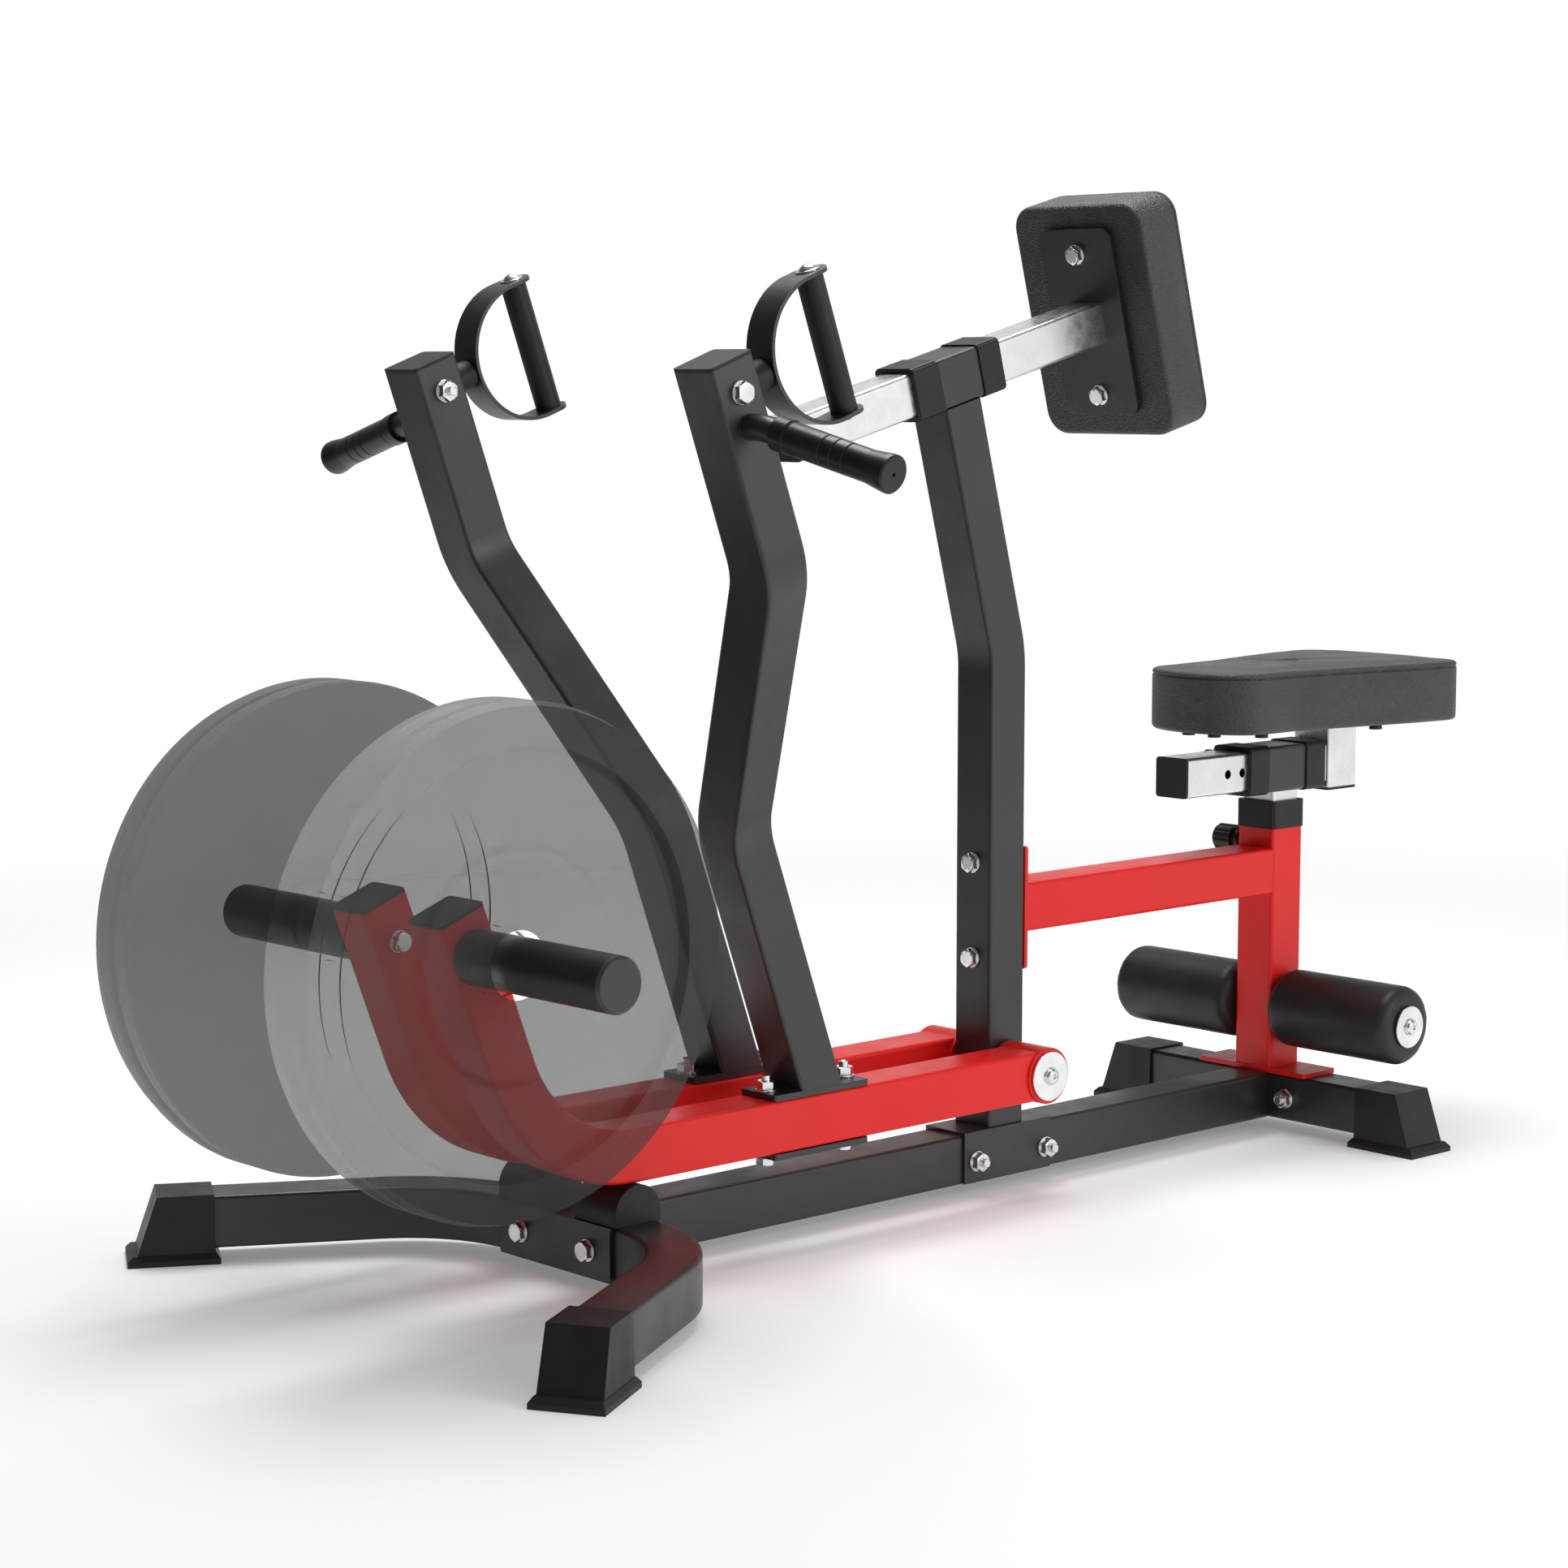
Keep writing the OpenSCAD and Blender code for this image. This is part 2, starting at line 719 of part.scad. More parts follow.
// Rubber grip on the side rod, turned about its own axis
module side_grip() {
    root_from = 12;
    root_len = 14;
    body_r = 14.3;
    end_r = body_r + 2.4;
    flare_x = [side_grip_len - 26, side_grip_len - 6];
    edge = 1.5;
    vent_r = 1.8;
    groove = 1.4;
    groove_x = [16, 57, 70, 84];
    color(plastic) at_arm() at_side_rod() translate([root_from, 0, 0]) rotate([0, 90, 0]) difference() {
        union() {
            cylinder(r = body_r + 1, h = root_len);
            cylinder(r = body_r, h = flare_x[0]);
            translate([0, 0, flare_x[0]])
                cylinder(r1 = body_r, r2 = end_r, h = flare_x[1] - flare_x[0]);
            rod_z(end_r, flare_x[1] - overlap, side_grip_len - edge);
            translate([0, 0, side_grip_len - edge - overlap])
                cylinder(r1 = end_r, r2 = end_r - edge, h = edge);
        }
        rod_z(rod_r + 0.1, -1, side_grip_len - 2);
        rod_z(vent_r, 0, side_grip_len + 1);
        for (x = groove_x) translate([0, 0, x]) rotate_extrude()
            translate([body_r, 0]) rotate(45) square(groove, center = true);
    }
}

module arm_clamp() {
    color(black) difference() {
        translate([arm_x, lever_y, lever_z - half - foot_plate[2]]) linear_extrude(foot_plate[2] - 0.3)
            round_rect(foot_plate[0], foot_plate[1], 3);
        arm_bolt_holes();
    }
}

// Square end cap with a plug, on a tube that ends along +X
module tube_cap() {
    plug = tube - 2 * wall - 0.6;
    rotate([90, 0, 90]) {
        linear_extrude(cap_face) round_rect(tube, tube, corner);
        translate([0, 0, -cap_plug]) linear_extrude(cap_plug + overlap) round_rect(plug, plug, 2);
    }
}

module end_caps() {
    color(plastic) {
        translate([bend_end[0], lever_y, bend_end[1]]) rotate([0, -90 - lever_lean, 0])
            translate([lever_end, 0, 0]) tube_cap();
        at_arm() translate([arm_top, handle_y, 0]) tube_cap();
    }
}

module swivel_boss() {
    color(plastic) at_arm() translate([handle_s, handle_y, 0]) difference() {
        union() {
            rod_z(boss_r, -boss_n, -half);
            rod_z(boss_r - 3, -half - overlap, 10);
        }
        rod_z(swivel_bolt_r + run_gap, -boss_n - 1, -12);
        translate([cross_s - handle_s, 0, 0]) rod_y(bolt_hole_r, -tube, tube);
    }
}

module lever_bolts() {
    inner_face = lever_y - half;
    color(zinc) {
        for (x = arm_bolt_x) translate([x, lever_y, lever_z - half - foot_plate[2]])
            hex_bolt(tube + 2 * foot_plate[2]);
        translate([sleeve_at[0], inner_face, sleeve_at[1]]) rotate([-90, 0, 0])
            hex_bolt(tube + 8, false);
        at_arm() translate([cross_s, handle_y + half, 0]) rotate([90, 0, 0]) hex_bolt(tube);
    }
}

// Frame of a D-handle: the swivel's axis is Z, the grip lies along X at -grip_n
module at_handle() {
    at_arm() translate([handle_s, handle_y, 0]) children();
}

module d_strap() {
    inner_r = strap_r - strap_t;
    tab_r = strap_w / 2;
    color(black) at_handle() difference() {
        union() {
            translate([0, 0, -strap_centre]) rotate([-90, 0, 0]) rotate([0, 0, 180])
                rotate_extrude(angle = 180) translate([inner_r, -tab_r]) square([strap_t, strap_w]);
            for (side = [0, 1]) mirror([side, 0, 0]) translate([inner_r, 0, -strap_centre])
                rotate([0, 90, 0]) linear_extrude(strap_t) {
                    translate([0, -tab_r]) square([tab_n - tab_r - strap_centre, strap_w]);
                    translate([tab_n - tab_r - strap_centre, 0]) circle(tab_r);
                }
        }
        rod_z(swivel_bolt_r + 0.2, -strap_centre, 0);
        translate([0, 0, -grip_n]) rod_x(grip_bolt_r + 0.2, -strap_r - 1, strap_r + 1);
    }
}

module d_grip() {
    reach = strap_r - strap_t - 0.1;
    color(plastic) at_handle() translate([0, 0, -grip_n]) difference() {
        rod_x(grip_d / 2, -reach, reach);
        rod_x(grip_bolt_r + 0.2, -reach - 1, reach + 1);
    }
}

// A through stud with a domed head at each end of the grip, and the swivel bolt
module d_bolts() {
    dome_r = 10;
    dome_sink = 4;
    flange_t = 1.5;
    swivel_head = [9, 4];
    under_strap = -strap_n - strap_t - 0.6;
    color(zinc) at_handle() {
        translate([0, 0, -grip_n]) {
            rod_x(grip_bolt_r, -strap_r - flange_t, strap_r + flange_t);
            for (side = [0, 1]) mirror([side, 0, 0]) translate([strap_r, 0, 0]) {
                rod_x(dome_r + 1, 0, flange_t);
                rotate([0, 90, 0]) intersection() {
                    translate([0, 0, -dome_sink]) sphere(dome_r);
                    translate([0, 0, flange_t - 0.1]) cylinder(r = dome_r, h = dome_r);
                }
            }
        }
        rod_z(swivel_bolt_r, under_strap - 1, -14);
        rod_z(swivel_head[0], under_strap - swivel_head[1], under_strap);
    }
}

// One see-through weight plate, its inner face at y: a rim that tapers a little on its outer
// half, a dished middle and a raised hub
module weight_plate(y) {
    edge = 2;
    taper = 4;
    rim_r = 187;
    dish_r = [106, 182];
    dish_t = 17;
    hub_edge_r = 99;
    hub_t = 21;
    outline = [
        [plate_bore_r, 0], [plate_r - edge, 0], [plate_r, edge], [plate_r, plate_t / 2],
        [plate_r - taper, plate_t], [rim_r, plate_t], [dish_r[1], dish_t], [dish_r[0], dish_t],
        [hub_edge_r, hub_t], [plate_bore_r, hub_t]
    ];
    color(ghost) translate([sleeve_at[0], y, sleeve_at[1]]) rotate([-90, 0, 0])
        rotate_extrude() polygon(outline);
}

module plate_left_inner() { on_side(-1) weight_plate(plate_y[0]); }
module plate_left_outer() { on_side(-1) weight_plate(plate_y[0] + plate_t + plate_gap); }
module plate_right_inner() { weight_plate(plate_y[1]); }
module plate_right_outer() { weight_plate(plate_y[1] + plate_t + plate_gap); }

module lever_left() { on_side(-1) lever_side(); }
module weight_sleeve_left() { on_side(-1) weight_sleeve(); }
module handle_arm_left() { on_side(-1) handle_arm(); }
module arm_clamp_left() { on_side(-1) arm_clamp(); }
module end_caps_left() { on_side(-1) end_caps(); }
module swivel_boss_left() { on_side(-1) swivel_boss(); }
module side_grip_left() { on_side(-1) side_grip(); }
module lever_bolts_left() { on_side(-1) lever_bolts(); }
module d_strap_left() { on_side(-1) d_strap(); }
module d_grip_left() { on_side(-1) d_grip(); }
module d_bolts_left() { on_side(-1) d_bolts(); }

// ---- Seat ----

module seat_inner_post() {
    top = slide_z - half;
    color(zinc) translate([rear_x, 0, inner_post_bottom]) difference() {
        linear_extrude(top - inner_post_bottom) tube_section(inner_tube, 2);
        for (i = [0 : height_stops])
            translate([0, 0, height_pin_z - inner_post_bottom - height_pitch * i])
                rod_y(pin_r + slide_gap, 0, tube);
    }
}

module slide_sleeve() {
    sleeve_from = slide_front[0] + lip;
    sleeve_to = slide_rear[1] - lip;
    color(black) difference() {
        union() {
            translate([sleeve_from, 0, slide_z]) tube_x(sleeve_to - sleeve_from);
            translate([slide_pin_x, 0, slide_z]) pin_barrel();
        }
        translate([slide_pin_x, 0, slide_z]) pin_bore();
    }
}

module slide_collars() {
    color(plastic) translate([0, 0, slide_z]) {
        slide_collar(slide_front[0], slide_front[1], true);
        slide_collar(slide_rear[0], slide_rear[1], false);
    }
}

module slide_pin() {
    color(plastic) translate([slide_pin_x, 0, slide_z]) pull_pin();
}

module slide_tube() {
    from = slide_tube_x[0] + cap_face;
    seat_plate = [150, 90, 4];
    plate_z = seat_z[0] - seat_plate[2] - slide_gap;
    color(zinc) {
        difference() {
            translate([from, 0, slide_z]) tube_x(slide_tube_x[1] - from, inner_tube, 2);
            for (i = [0 : slide_stops]) translate([slide_pin_x - slide_pitch * i, 0, slide_z])
                rod_y(pin_r, -tube, tube);
        }
        translate([seat_upright_mid, 0, seat_upright_z])
            linear_extrude(plate_z - seat_upright_z) tube_section(tube, wall);
        translate([seat_upright_mid - 5, 0, plate_z]) linear_extrude(seat_plate[2])
            round_rect(seat_plate[0], seat_plate[1], 8);
    }
}

module slide_caps() {
    plug = inner_tube - 5;
    color(plastic) {
        translate([slide_tube_x[0], 0, slide_z]) rotate([90, 0, 90]) {
            linear_extrude(cap_face) round_rect(inner_tube, inner_tube, corner);
            translate([0, 0, cap_face - overlap]) linear_extrude(cap_plug)
                round_rect(plug, plug, 2);
        }
        translate([seat_upright_mid, 0, seat_upright_z]) rotate([0, 90, 0]) tube_cap();
    }
}

// Plan of the seat pad: a rounded nose with straight sides that widen to a broad back
module seat_plan() {
    back_r = 30;
    nose_len = 50;
    waist_x = seat_x[0] + 104;
    hip_x = seat_x[0] + 274;
    hull() {
        translate([seat_x[0] + nose_len, 0]) scale([nose_len / seat_half[0], 1]) circle(seat_half[0]);
        translate([waist_x, 0]) square([1, 2 * seat_half[0]], center = true);
    }
    hull() {
        translate([waist_x, 0]) square([1, 2 * seat_half[0]], center = true);
        translate([hip_x, 0]) square([1, 2 * seat_half[1]], center = true);
        for (y = [-1, 1]) translate([seat_x[1] - back_r, y * (seat_half[2] - back_r)]) circle(back_r);
    }
}

module seat_pad() {
    color(leather) translate([0, 0, seat_z[0]]) linear_extrude(seat_z[1] - seat_z[0]) seat_plan();
}

// Screw heads and stand-offs under the seat pad
module seat_studs() {
    near_nose = seat_x[0] + 33;
    stud_r = 7;
    stud_h = 5;
    color(plastic) for (side = [-1, 1]) on_side(side) {
        for (at = [[near_nose, 18], [near_nose + 34, 55], [near_nose + 197, 80]])
            translate([at[0], at[1], 0]) rod_z(stud_r, seat_z[0] - stud_h, seat_z[0] - 0.05);
    }
}

module lever_right() { lever_side(); }
module weight_sleeve_right() { weight_sleeve(); }
module handle_arm_right() { handle_arm(); }
module arm_clamp_right() { arm_clamp(); }
module end_caps_right() { end_caps(); }
module swivel_boss_right() { swivel_boss(); }
module side_grip_right() { side_grip(); }
module lever_bolts_right() { lever_bolts(); }
module d_strap_right() { d_strap(); }
module d_grip_right() { d_grip(); }
module d_bolts_right() { d_bolts(); }

front_crossbar();
front_feet();
front_plate();
lever_bumpers();
main_beam();
rear_crossbar();
rear_feet();
frame_bolts();
post_saddle();
mast();
mast_collars();
link_beam();
seat_post();
seat_post_collar();
roller_bar();
pivot_axle();
axle_washers();
lever_left();
weight_sleeve_left();
handle_arm_left();
arm_clamp_left();
end_caps_left();
swivel_boss_left();
side_grip_left();
lever_bolts_left();
lever_right();
weight_sleeve_right();
handle_arm_right();
arm_clamp_right();
end_caps_right();
swivel_boss_right();
side_grip_right();
lever_bolts_right();
d_strap_left();
d_grip_left();
d_bolts_left();
d_strap_right();
d_grip_right();
d_bolts_right();
foam_roller_left();
foam_roller_right();
seat_inner_post();
slide_sleeve();
slide_collars();
slide_tube();
slide_caps();
seat_pad();
seat_studs();
chest_tube();
chest_plate();
chest_cap();
chest_pad();
chest_bolts();
plate_left_inner();
plate_left_outer();
plate_right_inner();
plate_right_outer();
height_pin();
slide_pin();
chest_pin();
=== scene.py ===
"""Looks of a plate-loaded lever row: coated and plated steel, leather pads, foam and plastic."""

import json
import math

import bmesh
import bpy
from mathutils import Matrix, Vector, kdtree


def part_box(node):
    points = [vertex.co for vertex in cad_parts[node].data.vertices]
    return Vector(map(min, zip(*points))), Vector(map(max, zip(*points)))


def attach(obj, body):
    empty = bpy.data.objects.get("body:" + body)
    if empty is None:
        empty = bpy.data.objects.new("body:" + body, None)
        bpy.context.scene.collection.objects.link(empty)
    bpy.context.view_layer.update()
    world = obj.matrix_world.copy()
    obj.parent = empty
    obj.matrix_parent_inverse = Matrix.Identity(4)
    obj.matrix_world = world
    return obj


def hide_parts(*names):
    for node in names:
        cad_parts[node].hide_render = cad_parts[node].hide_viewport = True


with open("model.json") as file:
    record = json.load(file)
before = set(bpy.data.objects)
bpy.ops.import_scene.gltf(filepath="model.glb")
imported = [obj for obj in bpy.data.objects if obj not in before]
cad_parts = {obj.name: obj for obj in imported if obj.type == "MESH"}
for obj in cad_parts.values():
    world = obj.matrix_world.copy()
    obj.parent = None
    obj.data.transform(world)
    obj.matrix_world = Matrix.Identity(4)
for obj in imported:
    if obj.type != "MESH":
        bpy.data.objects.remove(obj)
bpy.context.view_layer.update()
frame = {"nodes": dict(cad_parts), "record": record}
NODES = frame["nodes"]
MM = 0.001
SIDES = ("left", "right")

# ---------------------------------------------------------------- camera

CAMERA_PLACE = (-2.366, -2.440, 0.8247)
CAMERA_YAW = math.radians(42.439)
CAMERA_PITCH = math.radians(6.7174)
CAMERA_LENS = 79.91


def aim(obj, direction):
    """Turns a camera or lamp to look along a direction, with its top up."""
    obj.rotation_euler = Vector(direction).to_track_quat("-Z", "Y").to_euler()


def add_camera():
    data = bpy.data.cameras.new("camera")
    data.lens = CAMERA_LENS
    data.sensor_width = 36
    camera = bpy.data.objects.new("camera", data)
    camera.location = CAMERA_PLACE
    level = math.cos(CAMERA_PITCH)
    ahead = (math.sin(CAMERA_YAW) * level, math.cos(CAMERA_YAW) * level, -math.sin(CAMERA_PITCH))
    aim(camera, ahead)
    bpy.context.scene.collection.objects.link(camera)
    bpy.context.scene.camera = camera


# ---------------------------------------------------------------- materials


class Shader:
    """One Principled material, built with short calls. Patterns lie in the part's metres."""

    def __init__(self, name):
        self.mat = bpy.data.materials.new(name)
        self.mat.use_nodes = True
        self.tree = self.mat.node_tree
        self.bsdf = self.tree.nodes["Principled BSDF"]
        self.place = self.tree.nodes.new("ShaderNodeTexCoord").outputs["Object"]

    def node(self, kind, inputs=None, **settings):
        made = self.tree.nodes.new(kind)
        for key, value in settings.items():
            setattr(made, key, value)
        for key, value in (inputs or {}).items():
            self.put(made.inputs[key], value)
        return made

    def put(self, socket, value):
        if isinstance(value, bpy.types.NodeSocket):
            self.tree.links.new(value, socket)
        else:
            socket.default_value = value

    def set(self, **values):
        for key, value in values.items():
            self.put(self.bsdf.inputs[key.replace("_", " ")], value)

    def stretched(self, scale):
        return self.node("ShaderNodeMapping", {"Vector": self.place, "Scale": scale}).outputs[0]

    def noise(self, scale, detail=2.0, roughness=0.5, place=None):
        inputs = {"Vector": place or self.place, "Scale": scale, "Detail": detail,
                  "Roughness": roughness}
        return self.node("ShaderNodeTexNoise", inputs).outputs["Fac"]

    def cells(self, scale, place, feature="F1", smooth=0.0):
        inputs = {"Vector": place, "Scale": scale}
        made = self.node("ShaderNodeTexVoronoi", inputs, feature=feature)
        if feature == "SMOOTH_F1":
            made.inputs["Smoothness"].default_value = smooth
        return made.outputs["Distance"]

    def span(self, value, low, high, to_low, to_high):
        inputs = {"Value": value, "From Min": low, "From Max": high, "To Min": to_low,
                  "To Max": to_high}
        return self.node("ShaderNodeMapRange", inputs).outputs[0]

    def math(self, operation, first, second):
        return self.node("ShaderNodeMath", {0: first, 1: second}, operation=operation).outputs[0]

    def mix(self, share, first, second):
        made = self.node("ShaderNodeMix", data_type="RGBA")
        self.put(made.inputs["Factor"], share)
        self.put(made.inputs["A"], first)
        self.put(made.inputs["B"], second)
        return made.outputs["Result"]

    def bump(self, height, distance, normal=None, strength=1.0):
        made = self.node("ShaderNodeBump", {"Height": height, "Distance": distance,
                                            "Strength": strength})
        if normal is not None:
            self.put(made.inputs["Normal"], normal)
        return made.outputs[0]

    def soft_edges(self, radius):
        """(normal that rounds sharp edges, 0 to 1 on those edges)"""
        rounded = self.node("ShaderNodeBevel", {"Radius": radius}, samples=3).outputs[0]
        own = self.node("ShaderNodeNewGeometry").outputs["Normal"]
        dot = self.node("ShaderNodeVectorMath", {0: rounded, 1: own}, operation="DOT_PRODUCT")
        return rounded, self.span(dot.outputs["Value"], 0.99, 0.8, 0.0, 1.0)


PLATE_BORE = 30.1 * MM  # radius within which a plate's surface is its bore


def grey(value):
    return (value, value, value, 1.0)


def coated_steel(name, deep, pale, worn, shine):
    """Powder coat: orange-peel skin, soft edges that are a little rubbed, faint dust."""
    s = Shader(name)
    rounded, edge = s.soft_edges(1.1 * MM)
    cloud = s.span(s.noise(7, 3), 0.35, 0.65, 0.0, 1.0)
    rubbed = s.math("MULTIPLY", edge, s.span(s.noise(60, 3), 0.42, 0.62, 0.0, 0.45))
    speck = s.span(s.noise(1100, 1), 0.62, 0.72, 0.0, 0.35)
    paint = s.mix(cloud, deep, pale)
    paint = s.mix(speck, paint, pale)
    s.set(Base_Color=s.mix(rubbed, paint, worn))
    s.set(Roughness=s.span(s.noise(28, 3), 0.3, 0.7, 0.34, 0.46), Specular_IOR_Level=shine)
    peel = s.math("ADD", s.noise(650, 2), s.math("MULTIPLY", s.noise(160, 1), 0.6))
    s.set(Normal=s.bump(peel, 0.16 * MM, rounded, 0.55))
    return s.mat


def plated_steel(name, bright, dull, rough_low, rough_high):
    """Zinc plate: cloudy metal with fine drawing marks."""
    s = Shader(name)
    rounded, edge = s.soft_edges(0.7 * MM)
    cloud = s.span(s.noise(34, 4, 0.6), 0.35, 0.65, 0.0, 1.0)
    s.set(Metallic=1.0)
    s.set(Base_Color=s.mix(edge, s.mix(cloud, bright, dull), bright))
    s.set(Roughness=s.span(s.noise(85, 4, 0.65), 0.3, 0.7, rough_low, rough_high))
    drawn = s.noise(1, 2, place=s.stretched((40, 1500, 1500)))
    ripple = s.math("ADD", s.math("MULTIPLY", drawn, 0.5), s.math("MULTIPLY", s.noise(60, 1), 0.5))
    s.set(Normal=s.bump(ripple, 0.1 * MM, rounded, 0.35))
    return s.mat


def moulded(name, deep, pale, rough_low, rough_high, grain):
    """Moulded plastic or rubber with a fine spark-eroded grain."""
    s = Shader(name)
    rounded, edge = s.soft_edges(0.9 * MM)
    cloud = s.span(s.noise(18, 3), 0.35, 0.65, 0.0, 1.0)
    scuffed = s.math("MULTIPLY", edge, s.span(s.noise(75, 2), 0.45, 0.65, 0.0, 0.4))
    s.set(Base_Color=s.mix(scuffed, s.mix(cloud, deep, pale), grey(0.07)))
    s.set(Roughness=s.span(s.noise(45, 3), 0.3, 0.7, rough_low, rough_high))
    s.set(Specular_IOR_Level=0.35)
    s.set(Normal=s.bump(s.noise(grain, 2), 0.1 * MM, rounded, 0.6))
    return s.mat


PEBBLES = 340  # pebbles of the leather's grain in a metre


def leather():
    """Black upholstery leather: pebbles parted by fine creases."""
    s = Shader("pad_leather")
    bend = s.node("ShaderNodeTexNoise", {"Vector": s.place, "Scale": 90.0, "Detail": 2.0})
    moved = s.node("ShaderNodeVectorMath", {0: bend.outputs["Color"], 1: (0.004,) * 3},
                   operation="MULTIPLY")
    place = s.node("ShaderNodeVectorMath", {0: s.place, 1: moved.outputs[0]}).outputs[0]
    wide = s.node("ShaderNodeMapping", {"Vector": place, "Scale": (1.0, 1.0, 1.6)}).outputs[0]
    pebble = s.cells(PEBBLES, wide, "SMOOTH_F1", 0.35)
    crease = s.span(s.cells(PEBBLES, wide, "DISTANCE_TO_EDGE"), 0.0, 0.16, 0.0, 1.0)
    cloud = s.span(s.noise(11, 3), 0.35, 0.65, 0.0, 1.0)
    skin = s.mix(cloud, grey(0.021), grey(0.029))
    s.set(Base_Color=s.mix(crease, grey(0.014), skin))
    s.set(Roughness=s.span(s.noise(30, 3), 0.3, 0.7, 0.42, 0.53), Specular_IOR_Level=0.85)
    height = s.math("SUBTRACT", s.math("MULTIPLY", crease, 0.7), s.math("MULTIPLY", pebble, 0.8))
    height = s.math("ADD", height, s.math("MULTIPLY", s.noise(1500, 1), 0.12))
    s.set(Normal=s.bump(height, 0.5 * MM, None, 0.85))
    return s.mat


def foam():
    """Dipped black foam: smooth satin skin with faint pores and pressure marks."""
    s = Shader("roller_foam")
    cloud = s.span(s.noise(22, 4), 0.35, 0.65, 0.0, 1.0)
    pore = s.span(s.cells(900, s.place), 0.0, 0.35, 0.0, 1.0)
    s.set(Base_Color=s.mix(cloud, grey(0.013), grey(0.02)))
    s.set(Roughness=s.span(s.noise(40, 3), 0.3, 0.7, 0.4, 0.52), Specular_IOR_Level=0.38)
    height = s.math("ADD", s.math("MULTIPLY", pore, 0.25), s.noise(95, 3))
    s.set(Normal=s.bump(height, 0.3 * MM, None, 0.5))
    return s.mat


def see_through(name, opacity, node):
    """A weight plate shown as a ghost: only its first surface is drawn, and not its bore's wall."""
    s = Shader(name)
    cloud = s.span(s.noise(9, 3), 0.35, 0.65, 0.0, 1.0)
    s.set(Base_Color=s.mix(cloud, grey(0.032), grey(0.038)))
    s.set(Roughness=s.span(s.noise(24, 3), 0.3, 0.7, 0.5, 0.62), Specular_IOR_Level=0.28)
    s.set(Normal=s.bump(s.noise(420, 2), 0.15 * MM, None, 0.4))
    depth = s.node("ShaderNodeLightPath").outputs["Transparent Depth"]
    first = s.math("MULTIPLY", s.math("LESS_THAN", depth, 0.5), opacity)
    low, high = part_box(node)
    middle = (low + high) / 2
    offset = s.node("ShaderNodeVectorMath", {0: s.place, 1: middle}, operation="SUBTRACT")
    flat = s.node("ShaderNodeVectorMath", {0: offset.outputs["Vector"], 1: (1, 0, 1)},
                  operation="MULTIPLY")
    radius = s.node("ShaderNodeVectorMath", {0: flat.outputs["Vector"]}, operation="LENGTH")
    past_bore = s.math("GREATER_THAN", radius.outputs["Value"], PLATE_BORE)
    s.set(Alpha=s.math("MULTIPLY", first, past_bore))
    return s.mat


# ---------------------------------------------------------------- mesh helpers


def new_piece(name, body, material, mesh=None):
    mesh = mesh or bpy.data.meshes.new(name)
    piece = bpy.data.objects.new(name, mesh)
    bpy.context.scene.collection.objects.link(piece)
    mesh.materials.clear()
    mesh.materials.append(material)
    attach(piece, body)
    return piece


def axes(direction):
    """Matrix whose Z points along a direction."""
    return Vector(direction).to_track_quat("Z", "Y").to_matrix().to_4x4()


def skin_rings(bm, rings, hollow=False):
    """Joins rings of points of one length with quads; a hollow shape's last meets its first."""
    rows = [[bm.verts.new(p) for p in ring] for ring in rings]
    pairs = list(zip(rows, rows[1:]))
    if hollow:
        pairs.append((rows[-1], rows[0]))
    for low, high in pairs:
        for i in range(len(low)):
            j = (i + 1) % len(low)
            bm.faces.new((low[i], low[j], high[j], high[i]))
    if not hollow:
        bm.faces.new(reversed(rows[0]))
        bm.faces.new(rows[-1])


def finish_mesh(bm, mesh, place=None, sharp=35.0):
    """Writes a bmesh to a mesh, smooth but for its sharp edges."""
    bmesh.ops.recalc_face_normals(bm, faces=bm.faces)
    if place is not None:
        bm.transform(place)
    for face in bm.faces:
        face.smooth = True
    for edge in bm.edges:
        edge.smooth = not edge.is_manifold or edge.calc_face_angle() < math.radians(sharp)
    bm.to_mesh(mesh)
    bm.free()


def ring_at(radius, height, count):
    angles = (2 * math.pi * i / count for i in range(count))
    return [(radius * math.cos(a), radius * math.sin(a), height) for a in angles]


def turned(bm, profile, count, hollow=False):
    """Lathe shape along Z from (radius, height) points."""
    skin_rings(bm, [ring_at(radius, height, count) for radius, height in profile], hollow)


# ---------------------------------------------------------------- bolts

HEAD_FLAT = 8.49 * MM  # half the width across the flats
HEAD_HEIGHT = 6.5 * MM
NUT_HEIGHT = 8.0 * MM
WASHER = (10.5 * MM, 2.0 * MM)  # radius, thickness
SHANK = 5.0 * MM
STUD = 4.5 * MM
THREAD_PITCH = 1.5 * MM
CHAMFER = math.tan(math.radians(30))
STEPS = 48


def hex_radius(angle):
    """Distance from the middle to the flats of a hexagon at an angle."""
    return HEAD_FLAT / math.cos((angle + math.pi / 6) % (math.pi / 3) - math.pi / 6)


def hexagon(bm, low, high, both_ends):
    """Hexagon head or nut between two heights, its top, or both ends, chamfered to a cone."""
    angles = [2 * math.pi * i / STEPS for i in range(STEPS)]

    def ring(share, edge, sign):
        points = []
        for angle in angles:
            full = hex_radius(angle)
            r = full * share
            drop = max(0.0, r - HEAD_FLAT * 0.97) * CHAMFER
            points.append((r * math.cos(angle), r * math.sin(angle), edge - sign * drop))
        return points

    shares = (0.55, 0.84, 0.9, 0.95, 1.0)
    top = [ring(share, high, 1) for share in reversed(shares)]
    if both_ends:
        bottom = [ring(share, low, -1) for share in shares]
    else:
        bottom = [ring(share, low, 0) for share in (0.55, 1.0)]
    skin_rings(bm, bottom + top)


def washer(bm, low):
    radius, thick = WASHER
    edge = 0.35 * MM
    profile = [(SHANK, low), (radius - edge, low), (radius, low + edge),
               (radius, low + thick - edge), (radius - edge, low + thick), (SHANK, low + thick)]
    turned(bm, profile, STEPS, hollow=True)


